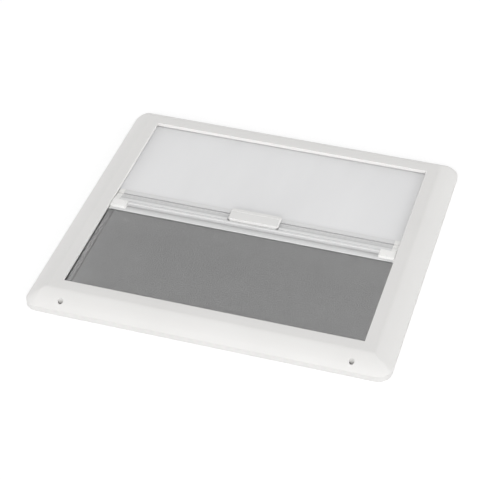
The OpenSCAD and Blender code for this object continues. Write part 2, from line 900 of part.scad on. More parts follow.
// The screen bar before its hollows are cut: ridge at the seam, finger groove, flange at the mesh
module screen_bar_outline() {
    difference() {
        polygon([
            [bar_from, bar_low], [screen_body_w, bar_low], [screen_body_w, flange_low],
            [screen_bar_w, flange_low], [screen_bar_w, flange_z], [groove_to, flange_z],
            [screen_ridge_w, groove_z], [screen_ridge_w, ridge_z], [bar_from, ridge_z],
        ]);
        translate([bar_from, ridge_z]) mirror([1, 0]) round_off(seam_r);
        translate([screen_ridge_w, ridge_z]) round_off(ridge_r);
        translate([screen_bar_w, flange_z]) round_off(ridge_r);
    }
}

// The bar's hollow: tall round the keeper, lower round the latch nose, low under the groove
module screen_chamber(inset) {
    translate([chamber_from + inset, chamber_low + inset]) {
        square([keeper_room - chamber_from - 2 * inset, screen_chamber_top - chamber_low - 2 * inset]);
        square([nose_room - chamber_from - 2 * inset, nose_room_top - chamber_low - 2 * inset]);
        square([screen_hollow_to - chamber_from - 2 * inset, screen_hollow_top - chamber_low - 2 * inset]);
    }
}

module screen_bar_section() {
    difference() {
        screen_bar_outline();
        screen_chamber(0);
        keder_channel(screen_keder_v, screen_bar_w);
    }
}

// The window at the seam that the latch arm reaches through
module latch_window() {
    translate([-window_x, -chamber_from, chamber_low])
        cube([2 * window_x, 2 * chamber_from, keeper_low - chamber_low]);
}

module screen_drawbar() {
    notch_w = screen_cap_w + join_gap;
    color(bar_colour) at_seam() difference() {
        mirror([0, 1, 0]) along_x(2 * screen_bar_x) screen_bar_section();
        for (s = [0, 1]) mirror([s, 0, 0]) translate([screen_notch_x, -notch_w, bar_low - cut])
            cube([screen_cap_l, notch_w + cut, frame_h]);
        latch_window();
    }
}

// The blind bar before its hollows are cut: ridge at the seam, sloping band with a fine rib, groove, flange
module blind_bar_outline() {
    difference() {
        union() {
            polygon([
                [bar_from, bar_low], [blind_body_w, bar_low], [blind_body_w, flange_low],
                [blind_bar_w, flange_low], [blind_bar_w, flange_z], [slot_to, flange_z],
                [slot_to, flange_z - slot_deep], [slot_from, flange_z - slot_deep], [slot_from, flange_z],
                [blind_ridge_w, band_z], [blind_ridge_w, ridge_z], [bar_from, ridge_z],
            ]);
            translate([rib_v, rib_z]) circle(rib_r);
        }
        translate([bar_from, ridge_z]) mirror([1, 0]) round_off(seam_r);
        translate([blind_ridge_w, ridge_z]) round_off(ridge_r);
        translate([blind_bar_w, flange_z]) round_off(ridge_r);
    }
}

module blind_chamber(inset) {
    wide = blind_chamber_to - chamber_from;
    high = blind_chamber_top - chamber_low;
    translate([chamber_from + inset, chamber_low + inset])
        square([wide - 2 * inset, high - 2 * inset]);
}

module blind_bar_section() {
    difference() {
        blind_bar_outline();
        blind_chamber(0);
        keder_channel(blind_keder_v, blind_bar_w);
    }
}

// The cut in the blind bar's ridge under the handle, which leaves two lugs for the pin
module handle_seat() {
    lug_top = pin_z + lug_r;
    difference() {
        translate([-seat_x, -cut, seat_z]) cube([2 * seat_x, blind_ridge_w + 2 * cut, frame_h]);
        for (s = [0, 1]) mirror([s, 0, 0]) translate([bar_lug_x, pin_back - lug_r, seat_z - cut])
            cube([lug_w, 2 * lug_r, lug_top - seat_z + cut]);
    }
    translate([-window_x, chamber_from, chamber_low])
        cube([2 * window_x, arm_gap + arm_t + arm_swing, frame_h]);
}

module at_pin() {
    translate([0, pin_back, pin_z]) children();
}

module blind_drawbar() {
    color(bar_colour) at_seam() difference() {
        along_x(2 * blind_bar_x) blind_bar_section();
        handle_seat();
        latch_window();
        at_pin() rod(-seat_x, seat_x, pin_r + run_gap);
    }
}

// End caps, drawn for the right-hand end

// The tongue that slides in the guide rail
module shoe(bar_w) {
    translate([cap_x - weld, shoe_from, shoe_low])
        cube([shoe_x - cap_x + weld, bar_w - shoe_in - shoe_from, shoe_t]);
}

// The screen cap fills the groove and stands a little over the ridge
module screen_cap_outline() {
    top = ridge_z + cap_up;
    difference() {
        translate([bar_from, bar_low]) square([screen_cap_w - bar_from, top - bar_low]);
        translate([bar_from, top]) mirror([1, 0]) round_off(ridge_r);
        translate([screen_cap_w, top]) round_off(cap_r);
    }
}

module screen_end_cap() {
    color(cap_colour) {
        from_to_x(screen_notch_x + join_gap, cap_x) screen_cap_outline();
        from_to_x(screen_bar_x + join_gap, cap_x) screen_bar_outline();
        from_to_x(screen_notch_x - cap_plug_l, screen_notch_x + weld) screen_chamber(join_gap);
        shoe(screen_bar_w);
    }
}

module blind_end_cap() {
    color(cap_colour) {
        from_to_x(blind_bar_x + join_gap, cap_x) blind_bar_outline();
        from_to_x(blind_bar_x - cap_plug_l, blind_bar_x + weld) blind_chamber(join_gap);
        shoe(blind_bar_w);
    }
}

module screen_end_cap_right() { at_seam() mirror([0, 1, 0]) screen_end_cap(); }
module screen_end_cap_left() { at_seam() rotate([0, 0, 180]) screen_end_cap(); }
module blind_end_cap_right() { at_seam() blind_end_cap(); }
module blind_end_cap_left() { at_seam() mirror([1, 0, 0]) blind_end_cap(); }

// Latch

module latch_pin() {
    color(steel_colour) at_seam() at_pin() rod(-pin_x, pin_x, pin_r);
}

module latch_spring() {
    color(steel_colour) at_seam() at_pin() translate([latch_spring_x, 0, 0])
        helix(latch_spring_l, latch_turns, latch_spring_r, latch_wire);
}

module latch_keeper() {
    half = window_x + arm_side;
    color(steel_colour) at_seam() translate([-half, -keeper_v, keeper_low])
        cube([2 * half, keeper_t, screen_chamber_top - slide_gap - keeper_low]);
}

// The handle's section across the bars
module handle_section() {
    difference() {
        translate([handle_from, handle_low]) square([handle_d - handle_from, handle_t]);
        translate([handle_from, handle_top]) mirror([1, 0]) round_off(ridge_r);
        translate([handle_d, handle_top]) round_off(handle_nose_r);
    }
    translate([handle_d - bead_in, handle_top]) circle(bead_r);
}

// The handle's section along the bars, with bevelled ends
module handle_profile() {
    half = handle_w / 2;
    bevel_z = handle_top - handle_bevel;
    reach = handle_bevel + bead_r + cut;
    polygon([
        [-half, handle_low - cut], [half, handle_low - cut], [half, bevel_z],
        [half - reach, bevel_z + reach], [reach - half, bevel_z + reach], [-half, bevel_z],
    ]);
}

// The handle's plan, inset by a wall
module handle_plan(inset) {
    deep = handle_d - handle_from;
    translate([0, handle_from + deep / 2])
        rounded_rect(handle_w - 2 * inset, deep - 2 * inset, handle_r - inset);
}

// The handle's shell, with an apron in front that reaches down into the seat
module handle_shell() {
    apron_x = handle_w / 2 - handle_r;
    apron_low = ridge_z - apron_drop;
    apron_h = handle_roof + weld - apron_low;
    translate([-apron_x, handle_from, apron_low]) cube([2 * apron_x, handle_wall, apron_h]);
    difference() {
        intersection() {
            along_x(handle_w) handle_section();
            along_y(3 * handle_d) handle_profile();
            linear_extrude(2 * handle_top) handle_plan(0);
        }
        linear_extrude(handle_roof) handle_plan(handle_wall);
    }
}

module handle_lug() {
    high = handle_roof + weld - pin_z;
    translate([handle_lug_x, pin_back - lug_r, pin_z]) cube([lug_w, 2 * lug_r, high]);
    at_pin() rod(handle_lug_x, handle_lug_x + lug_w, lug_r);
}

// The arm that goes down through the blind's bar and hooks up behind the keeper
module latch_arm() {
    nose_to = nose_v + nose_t;
    translate([-arm_w / 2, arm_v, arm_low]) cube([arm_w, arm_t, handle_roof + weld - arm_low]);
    translate([-arm_w / 2, -nose_to, arm_low]) cube([arm_w, nose_to + arm_v + arm_t, arm_t]);
    translate([-arm_w / 2, -nose_to, arm_low]) cube([arm_w, nose_t, nose_top - arm_low]);
}

module latch_handle() {
    color(cap_colour) at_seam() difference() {
        union() {
            handle_shell();
            latch_arm();
            for (s = [0, 1]) mirror([s, 0, 0]) handle_lug();
        }
        at_pin() rod(-seat_x, seat_x, pin_r + run_gap);
    }
}

// Assembly screws, all driven from the back

module fixing(grip) {
    translate([0, 0, join_gap]) difference() {
        union() {
            cylinder(fixing_head_h, d = fixing_head_d);
            cylinder(base_t - join_gap + grip, d = fixing_d);
        }
        translate([0, 0, -cut]) cylinder(cut + socket_h, d = socket_d, $fn = 6);
    }
}

module frame_screws() {
    color(steel_colour) {
        at_end_fixings() fixing(fixing_grip);
        at_corner_fixings() fixing(fixing_grip);
    }
}

module bracket_screws() {
    color(steel_colour) at_bracket_screws() fixing(foot_hole_h - slide_gap);
}

module rail_screws() {
    color(steel_colour) at_rail_screws() fixing(rail_wall);
}

cover_frame();
base_frame();
guide_rail_left();
guide_rail_right();
blind_idle_bracket();
blind_spring_bracket();
screen_idle_bracket();
screen_spring_bracket();
blind_spring_arbor();
screen_spring_arbor();
blind_pile_seal();
screen_pile_seal();
frame_screws();
bracket_screws();
rail_screws();
blind_roller_tube();
blind_idle_plug();
blind_spring_plug();
blind_torsion_spring();
blind_fabric_roll();
screen_roller_tube();
screen_idle_plug();
screen_spring_plug();
screen_torsion_spring();
screen_fabric_roll();
blind_drawbar();
blind_end_cap_left();
blind_end_cap_right();
blackout_blind();
blind_keder();
latch_pin();
latch_spring();
screen_drawbar();
screen_end_cap_left();
screen_end_cap_right();
insect_screen();
screen_keder();
latch_keeper();
latch_handle();
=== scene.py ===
"""Looks of the roof vent frame: a moulded frame with a blackout roller blind and an insect screen."""

import math

import bpy
import numpy as np
from mathutils import Matrix, Vector


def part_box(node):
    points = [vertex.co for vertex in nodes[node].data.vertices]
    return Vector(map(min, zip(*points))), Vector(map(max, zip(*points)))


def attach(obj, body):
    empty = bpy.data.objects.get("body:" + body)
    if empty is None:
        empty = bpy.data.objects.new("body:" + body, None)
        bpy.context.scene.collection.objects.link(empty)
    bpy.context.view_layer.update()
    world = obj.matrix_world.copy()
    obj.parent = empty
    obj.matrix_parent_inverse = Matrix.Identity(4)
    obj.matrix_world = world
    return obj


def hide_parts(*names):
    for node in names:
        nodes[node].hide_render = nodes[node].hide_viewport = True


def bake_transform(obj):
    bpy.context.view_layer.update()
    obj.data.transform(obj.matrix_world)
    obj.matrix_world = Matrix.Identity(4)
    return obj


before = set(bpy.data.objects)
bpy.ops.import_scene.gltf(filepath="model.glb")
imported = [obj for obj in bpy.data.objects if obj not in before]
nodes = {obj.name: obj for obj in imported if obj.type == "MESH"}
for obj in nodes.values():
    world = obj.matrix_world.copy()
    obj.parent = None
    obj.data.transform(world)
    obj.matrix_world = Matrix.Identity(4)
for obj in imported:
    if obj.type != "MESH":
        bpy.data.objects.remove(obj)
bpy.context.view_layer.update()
scene = bpy.context.scene
scene.view_settings.view_transform = "Standard"

MM = 0.001
WHITE = (1, 1, 1, 1)


def micron(length):
    """A length from the frame to the nearest micron, because the frame's numbers are single precision."""
    return round(length, 6)


# The fabrics of the CAD model: the height of their middle, their thickness, and the gap to a drawbar's edge
cloth_low, cloth_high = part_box("blackout_blind")
FABRIC_Z = micron((cloth_low.z + cloth_high.z) / 2)
FABRIC_T = micron(cloth_high.z - cloth_low.z)
BAR_GAP = 0.3 * MM

# The blind's ripple: its height, then the radians in a metre, the start and the share of each wave
RIPPLE = 0.12 * MM
RIPPLE_WAVES = ((61, 0.0, 0.6), (23, 1.0, 0.4))

# The weave of the blind's cloth, and the threads of the insect screen
WEAVE_PITCH = 0.45 * MM
THREAD_PITCH = 0.86 * MM
THREAD_D = 0.34 * MM

# The bristles of the pile seals
BRISTLE_ROWS = 3
BRISTLE_PITCH = 0.8 * MM
BRISTLE_R = 0.14 * MM
BRISTLE_LEAN = 0.2 * MM
BRISTLE_UNEVEN = 0.12 * MM

# The photograph's camera, with its lens and sensor in millimetres and its other lengths in metres
CAMERA_PLACE = Vector((0.489965, -1.744809, 1.422696))
CAMERA_TARGET = Vector((-0.014778, -0.011332, 0))
CAMERA_ROLL = math.radians(0.7314)
CAMERA_LENS = 123.75
CAMERA_SENSOR = 36
CAMERA_REACH = 50


# Materials

# Most of a noise lies between these two values
NOISE_LOW, NOISE_HIGH = 0.3, 0.7


def shader(name):
    """A new material with its node tree and its Principled shader."""
    made = bpy.data.materials.new(name)
    made.use_nodes = True
    return made, made.node_tree, made.node_tree.nodes["Principled BSDF"]


def node(tree, kind, settings=(), **values):
    """A shader node with its properties and the values of its inputs, by name with _ for a space."""
    made = tree.nodes.new("ShaderNode" + kind)
    for key, value in dict(settings).items():
        setattr(made, key, value)
    for key, value in values.items():
        made.inputs[key.replace("_", " ")].default_value = value
    return made


def stretched(tree, scale):
    """Object coordinates in metres, stretched by a scale along each axis."""
    place = node(tree, "TexCoord")
    mapping = node(tree, "Mapping", Scale=scale)
    tree.links.new(place.outputs["Object"], mapping.inputs["Vector"])
    return mapping.outputs["Vector"]


def noise(tree, scale, detail=2.0, stretch=(1, 1, 1)):
    """Noise with about that many spots to the metre, drawn out along an axis whose stretch is below 1."""
    made = node(tree, "TexNoise", Scale=scale, Detail=detail)
    tree.links.new(stretched(tree, stretch), made.inputs["Vector"])
    return made.outputs["Fac"]


def mottled(tree, fac, dark, light):
    """A colour that drifts between two close tones."""
    ramp = node(tree, "ValToRGB")
    for stop, place, tone in zip(ramp.color_ramp.elements, (NOISE_LOW, NOISE_HIGH), (dark, light)):
        stop.position = place
        stop.color = (*tone, 1)
    tree.links.new(fac, ramp.inputs["Fac"])
    return ramp.outputs["Color"]


def paint(tree, bsdf, colour):
    """Sets the shader's colour."""
    tree.links.new(colour, bsdf.inputs["Base Color"])


def rough(tree, bsdf, fac, low, high):
    """Sets a roughness that drifts between two values."""
    span = node(tree, "MapRange", From_Min=NOISE_LOW, From_Max=NOISE_HIGH, To_Min=low, To_Max=high)
    tree.links.new(fac, span.inputs["Value"])
    tree.links.new(span.outputs["Result"], bsdf.inputs["Roughness"])


def relief(tree, bsdf, height, strength, depth, edge=0.0):
    """Bump from a height, over edges that are softened by a small radius."""
    bump = node(tree, "Bump", Strength=strength, Distance=depth)
    tree.links.new(height, bump.inputs["Height"])
    if edge:
        soft = node(tree, "Bevel", {"samples": 6}, Radius=edge)
        tree.links.new(soft.outputs["Normal"], bump.inputs["Normal"])
    tree.links.new(bump.outputs["Normal"], bsdf.inputs["Normal"])


def plastic(name, dark, light, roughness, grain, edge, subsurface=0.0):
    """Moulded plastic: faintly mottled, with a fine grain of that strength and soft edges."""
    made, tree, bsdf = shader(name)
    paint(tree, bsdf, mottled(tree, noise(tree, scale=9, detail=3), dark, light))
    rough(tree, bsdf, noise(tree, scale=60, detail=3), *roughness)
    relief(tree, bsdf, noise(tree, scale=1600), strength=grain, depth=0.1 * MM, edge=edge)
    bsdf.inputs["IOR"].default_value = 1.5
    if subsurface:
        bsdf.inputs["Subsurface Weight"].default_value = subsurface
        bsdf.inputs["Subsurface Radius"].default_value = (1.0, 0.9, 0.8)
        bsdf.inputs["Subsurface Scale"].default_value = 1.5 * MM
    return made


def painted_groove_shade(tree):
    """Painted shade: a share that is 1 on open faces and less in narrow grooves, where shade falls."""
    open_air = node(tree, "AmbientOcclusion", {"samples": 12, "only_local": True}, Distance=5 * MM)
    shade = node(tree, "MapRange", From_Min=0.65, From_Max=1.0, To_Min=0.81, To_Max=1.0)
    tree.links.new(open_air.outputs["AO"], shade.inputs["Value"])
    return shade.outputs["Result"]


def painted_height_shade(tree, top, levels):
    """Painted shade bands: a share that changes with height, from pairs of a depth in millimetres and a
    share, deepest first.
    """
    place = node(tree, "SeparateXYZ")
    tree.links.new(node(tree, "TexCoord").outputs["Object"], place.inputs["Vector"])
    deepest = levels[0][0]
    span = node(tree, "MapRange", From_Min=top - deepest * MM, From_Max=top)
    tree.links.new(place.outputs["Z"], span.inputs["Value"])
    ramp = node(tree, "ValToRGB")
    stops = ramp.color_ramp.elements
    while len(stops) < len(levels):
        stops.new(0.5)
    for stop, (depth, share) in zip(stops, levels):
        stop.position = 1 - depth / deepest
        stop.color = (share, share, share, 1)
    tree.links.new(span.outputs["Result"], ramp.inputs["Fac"])
    return ramp.outputs["Color"]


def scaled(tree, colour, share):
    """A colour times a share."""
    made = node(tree, "VectorMath", {"operation": "SCALE"})
    tree.links.new(colour, made.inputs[0])
    tree.links.new(share, made.inputs["Scale"])
    return made.outputs["Vector"]


def bar_coat_and_painted_shade(name, top=0.0, levels=()):
    """Powder-coated extrusion: draw lines under a satin coat, with painted shade in its grooves and painted
    shade bands at some levels.
    """
    made, tree, bsdf = shader(name)
    lines = noise(tree, scale=900, stretch=(0.01, 1, 1))
    streaks = noise(tree, scale=30, detail=3, stretch=(0.15, 1, 1))
    colour = mottled(tree, streaks, dark=(0.70, 0.70, 0.70), light=(0.74, 0.74, 0.74))
    # Painted shade: the colour is darkened in narrow grooves and, where levels are given, in bands by height.
    colour = scaled(tree, colour, painted_groove_shade(tree))
    if levels:
        colour = scaled(tree, colour, painted_height_shade(tree, top, levels))
    paint(tree, bsdf, colour)
    rough(tree, bsdf, lines, low=0.3, high=0.42)
    relief(tree, bsdf, lines, strength=0.12, depth=0.1 * MM, edge=0.25 * MM)
    bsdf.inputs["Coat Weight"].default_value = 0.25
    bsdf.inputs["Coat Roughness"].default_value = 0.3
    return made


def metal(name, dark, light, roughness, stretch):
    """Bare metal with fine streaks, drawn out by a stretch."""
    made, tree, bsdf = shader(name)
    bsdf.inputs["Metallic"].default_value = 1.0
    paint(tree, bsdf, mottled(tree, noise(tree, scale=40, detail=3), dark, light))
    streaks = noise(tree, scale=1400, stretch=stretch)
    rough(tree, bsdf, streaks, *roughness)
    relief(tree, bsdf, streaks, strength=0.15, depth=0.1 * MM, edge=0.15 * MM)
    return made


def weave(tree, pitch):
    """Height of a plain weave with that pitch."""
    wavelength = math.pi / 10  # of the wave texture at a scale of 1
    place = stretched(tree, (1, 1, 1))
    bands = []
    for direction in ("X", "Y"):
        band = node(
            tree, "TexWave", {"bands_direction": direction},
            Scale=wavelength / pitch, Distortion=0.6, Detail=1.0, Detail_Scale=1.0,
        )
        tree.links.new(place, band.inputs["Vector"])
        bands.append(band.outputs["Fac"])
    both = node(tree, "Math", {"operation": "MAXIMUM"})
    tree.links.new(bands[0], both.inputs[0])
    tree.links.new(bands[1], both.inputs[1])
    return both.outputs["Value"]


def cloth_white():
    """The side of the blind's cloth that faces the cabin."""
    made, tree, bsdf = shader("blind_cloth_inner")
    drift = noise(tree, scale=14, detail=4, stretch=(1, 0.25, 1))
    paint(tree, bsdf, mottled(tree, drift, dark=(0.78, 0.78, 0.785), light=(0.82, 0.82, 0.825)))
    rough(tree, bsdf, noise(tree, scale=300), low=0.7, high=0.85)
    relief(tree, bsdf, weave(tree, WEAVE_PITCH), strength=0.15, depth=0.05 * MM)
    bsdf.inputs["Sheen Weight"].default_value = 0.1
    return made


def cloth_silver():
    """The reflecting side of the blind's cloth, which faces the roof."""
    made, tree, bsdf = shader("blind_cloth_coating")
    bsdf.inputs["Metallic"].default_value = 0.75
    drift = noise(tree, scale=25, detail=4)
    paint(tree, bsdf, mottled(tree, drift, dark=(0.60, 0.60, 0.61), light=(0.68, 0.68, 0.69)))
    rough(tree, bsdf, noise(tree, scale=500), low=0.45, high=0.6)
    relief(tree, bsdf, weave(tree, WEAVE_PITCH), strength=0.2, depth=0.05 * MM)
    return made


def yarn(name, dark, light):
    """Dull thread with a fibrous surface."""
    made, tree, bsdf = shader(name)
    paint(tree, bsdf, mottled(tree, noise(tree, scale=70, detail=3), dark, light))
    rough(tree, bsdf, noise(tree, scale=900), low=0.5, high=0.7)
    relief(tree, bsdf, noise(tree, scale=6000), strength=0.3, depth=0.05 * MM)
    return made


FRAME_PLASTIC = plastic(
    "frame_satin", dark=(0.738, 0.73, 0.718), light=(0.763, 0.755, 0.743),
    roughness=(0.36, 0.46), grain=0.10, edge=0.4 * MM,
)
BASE_PLASTIC = plastic(
    "base_moulding", dark=(0.78, 0.775, 0.76), light=(0.82, 0.815, 0.80),
    roughness=(0.45, 0.58), grain=0.15, edge=0.3 * MM,
)
CAP_PLASTIC = plastic(
    "cap_gloss", dark=(0.86, 0.855, 0.84), light=(0.89, 0.885, 0.87),
    roughness=(0.25, 0.34), grain=0.06, edge=0.35 * MM,
)
HANDLE_PLASTIC = plastic(
    "handle_satin", dark=(0.76, 0.755, 0.745), light=(0.79, 0.785, 0.775),
    roughness=(0.3, 0.4), grain=0.08, edge=0.35 * MM,
)
NYLON = plastic(
    "natural_nylon", dark=(0.60, 0.60, 0.57), light=(0.66, 0.66, 0.63),
    roughness=(0.42, 0.55), grain=0.1, edge=0.2 * MM, subsurface=0.15,
)
# Both bars have painted shade in their grooves.
SCREEN_BAR_COAT_AND_PAINTED_SHADE = bar_coat_and_painted_shade("screen_bar_coat_and_painted_shade")
# The blind bar's levels are painted shade: darker bands at these depths below its top.
BLIND_BAR_COAT_AND_PAINTED_SHADE = bar_coat_and_painted_shade(
    "blind_bar_coat_and_painted_shade", top=micron(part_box("blind_drawbar")[1].z),
    levels=((4.4, 1.0), (2.6, 0.98), (2.1, 0.95), (1.7, 0.86), (1.2, 0.74), (0.4, 1.0), (0.0, 1.0)),
)
RAIL_METAL = metal(
    "rail_mill_finish", dark=(0.83, 0.83, 0.83), light=(0.88, 0.88, 0.88),
    roughness=(0.85, 0.97), stretch=(1, 0.01, 1),
)
STEEL = metal(
    "zinc_steel", dark=(0.5, 0.51, 0.53), light=(0.58, 0.59, 0.6),
    roughness=(0.25, 0.4), stretch=(0.2, 0.2, 1),
)
CLOTH_WHITE = cloth_white()
CLOTH_SILVER = cloth_silver()
SCREEN_YARN = yarn("screen_yarn", dark=(0.047, 0.047, 0.047), light=(0.061, 0.061, 0.061))
PILE_YARN = yarn("pile_yarn", dark=(0.06, 0.06, 0.063), light=(0.09, 0.09, 0.093))

DRESS = {
    FRAME_PLASTIC: ["cover_frame"],
    BASE_PLASTIC: ["base_frame"],
    CAP_PLASTIC: ["screen_end_cap_left", "screen_end_cap_right", "blind_end_cap_left", "blind_end_cap_right"],
    HANDLE_PLASTIC: ["latch_handle"],
    NYLON: [
        "blind_idle_bracket", "blind_spring_bracket", "screen_idle_bracket", "screen_spring_bracket",
        "blind_idle_plug", "blind_spring_plug", "screen_idle_plug", "screen_spring_plug",
        "blind_keder", "screen_keder",
    ],
    SCREEN_BAR_COAT_AND_PAINTED_SHADE: ["screen_drawbar"],
    BLIND_BAR_COAT_AND_PAINTED_SHADE: ["blind_drawbar"],
    RAIL_METAL: ["guide_rail_left", "guide_rail_right", "blind_roller_tube", "screen_roller_tube"],
    STEEL: [
        "blind_spring_arbor", "screen_spring_arbor", "blind_torsion_spring", "screen_torsion_spring",
        "latch_pin", "latch_spring", "latch_keeper", "frame_screws", "bracket_screws", "rail_screws",
    ],
}
for finish, names in DRESS.items():
    for name in names:
        nodes[name].data.materials.clear()
        nodes[name].data.materials.append(finish)


# Pieces

def piece(name, points, faces, materials, kinds=None):
    """A mesh object from points and faces, with a material index for each face."""
    mesh = bpy.data.meshes.new(name)
    mesh.from_pydata([tuple(p) for p in points], [], [tuple(f) for f in faces])
    for material in materials:
        mesh.materials.append(material)
    if kinds is not None:
        mesh.polygons.foreach_set("material_index", np.array(kinds, np.int32))
    mesh.update()
    made = bpy.data.objects.new(name, mesh)
    scene.collection.objects.link(made)
    return made


def even_stretch(made):
    """Bakes the sheet's placement into its points."""
    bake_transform(made)


def around(ring):
    """Each point of a closed ring with the next one."""
    return zip(ring, ring[1:] + ring[:1])


def prism(first, sides):
    """Faces of a closed prism whose first ring starts at a point and whose second ring follows it."""
    ring = list(range(first, first + sides))
    walls = [(p, q, q + sides, p + sides) for p, q in around(ring)]
    return walls + [tuple(reversed(ring)), tuple(k + sides for k in ring)]


def slab(x, y, z, thick):
    """Points of a closed sheet about a grid of heights z, and the faces of its top, bottom and edge."""
    nx, ny = len(x), len(y)
    top = [(a, b, z[j][i] + thick / 2) for j, b in enumerate(y) for i, a in enumerate(x)]
    bottom = [(a, b, c - thick) for a, b, c in top]
    n = nx * ny

    def at(i, j):
        return j * nx + i

    cells = [(i, j) for j in range(ny - 1) for i in range(nx - 1)]
    faces = [(at(i, j), at(i + 1, j), at(i + 1, j + 1), at(i, j + 1)) for i, j in cells]
    under = [tuple(n + k for k in reversed(f)) for f in faces]
    ring = [at(i, 0) for i in range(nx)] + [at(nx - 1, j) for j in range(1, ny)]
    ring += [at(i, ny - 1) for i in range(nx - 2, -1, -1)] + [at(0, j) for j in range(ny - 2, 0, -1)]
    edge = [(b, a, n + a, n + b) for a, b in around(ring)]
    return top + bottom, faces, under, edge


def blackout_cloth():
    """The blind's cloth: white inside, silver outside, hardly rippled, with a narrower tail in its bar."""
    low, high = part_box("blackout_blind")
    edge = micron(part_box("blind_drawbar")[1].y) + BAR_GAP
    columns, rows = 105, 50
    x = np.linspace(low.x, high.x, columns)
    y = np.linspace(edge, high.y, rows)
    across = np.sin((x - low.x) / (high.x - low.x) * math.pi) ** 0.5
    along = np.sin((y - edge) / (high.y - edge) * math.pi)
    ripple = RIPPLE * sum(share * np.sin(x * turn + start) for turn, start, share in RIPPLE_WAVES)
    z = FABRIC_Z + ripple[None, :] * across[None, :] * along[:, None]
    points, top, under, rim = slab(x, y, z, FABRIC_T)

    lap, thinner = 0.4 * MM, 0.9
    half_tail = micron(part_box("blind_keder")[1].x)
    flat = np.full((2, 2), FABRIC_Z)
    tail_x, tail_y = [-half_tail, half_tail], [low.y, edge + lap]
    tail_points, tail_top, tail_under, tail_rim = slab(tail_x, tail_y, flat, thinner * FABRIC_T)
    tail_faces = [tuple(k + len(points) for k in f) for f in tail_top + tail_under + tail_rim]

    white, silver = 0, 1
    kinds = [white] * len(top) + [silver] * len(under) + [white] * len(rim)
    kinds += [white] * len(tail_top) + [silver] * len(tail_under) + [white] * len(tail_rim)
    faces = top + under + rim + tail_faces
    made = piece("blackout_cloth", points + tail_points, faces, [CLOTH_WHITE, CLOTH_SILVER], kinds)
    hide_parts("blackout_blind")
    even_stretch(made)


def strands(lines, radius, sides=6):
    """Points and faces of straight round threads between pairs of points that differ along X or along Y."""
    points, faces = [], []
    for a, b in lines:
        faces += prism(len(points), sides)
        for end in (a, b):
            for k in range(sides):
                turn = 2 * math.pi * k / sides
                off, up = radius * math.cos(turn), radius * math.sin(turn)
                side = (0, off, up) if a[1] == b[1] else (-off, 0, up)
                points.append(tuple(p + s for p, s in zip(end, side)))
    return points, faces


def insect_threads():
    """The insect screen as real threads, fused where they cross, with a tail of the long ones in its bar."""
    low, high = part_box("insect_screen")
    edge = micron(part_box("screen_drawbar")[0].y) - BAR_GAP
    half_tail = micron(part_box("screen_keder")[1].x)
    count_x = int((high.x - low.x - THREAD_D) / THREAD_PITCH)
    count_y = int((edge - low.y - THREAD_D) / THREAD_PITCH)
    lines = []
    for x in np.linspace(low.x + THREAD_D, high.x - THREAD_D, count_x + 1):
        end = high.y if abs(x) < half_tail else edge
        lines.append(((x, low.y, FABRIC_Z), (x, end, FABRIC_Z)))
    for y in np.linspace(low.y + THREAD_D, edge - THREAD_D, count_y + 1):
        lines.append(((low.x, y, FABRIC_Z), (high.x, y, FABRIC_Z)))
    points, faces = strands(lines, THREAD_D / 2)
    made = piece("insect_threads", points, faces, [SCREEN_YARN])
    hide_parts("insect_screen")
    even_stretch(made)


def wound_cloth(which, side, material):
    """The cloth on a roller: one spiral that starts at the top, where the sheet leaves it."""
    tube_gap, thinner, steps_per_turn = 0.05 * MM, 0.8, 24
    low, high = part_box(which + "_fabric_roll")
    middle = (low + high) / 2
    outer = (high.z - low.z) / 2 - FABRIC_T / 2
    tube_low, tube_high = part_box(which + "_roller_tube")
    inner = micron(tube_high.z - tube_low.z) / 2 + FABRIC_T / 2 + tube_gap
    turns = (outer - inner) / FABRIC_T
    thick, steps = thinner * FABRIC_T, int(steps_per_turn * turns)
    points = []
    for k in range(steps + 1):
        turn = 2 * math.pi * turns * k / steps
        for r in (outer - FABRIC_T * turns * k / steps + s * thick / 2 for s in (1, -1)):
            y, z = middle.y + side * r * math.sin(turn), middle.z + r * math.cos(turn)
            points += [(low.x, y, z), (high.x, y, z)]
    faces = []
    for k in range(steps):
        a = 4 * k
        faces += [
            (a, a + 1, a + 5, a + 4), (a + 3, a + 2, a + 6, a + 7),
            (a + 2, a, a + 4, a + 6), (a + 1, a + 3, a + 7, a + 5),
        ]
    last = 4 * steps
    faces += [(1, 0, 2, 3), (last, last + 1, last + 3, last + 2)]
    if side < 0:
        faces = [tuple(reversed(f)) for f in faces]
    made = piece(which + "_wound_cloth", points, faces, [material])
    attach(made, which + "_roller")
    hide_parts(which + "_fabric_roll")


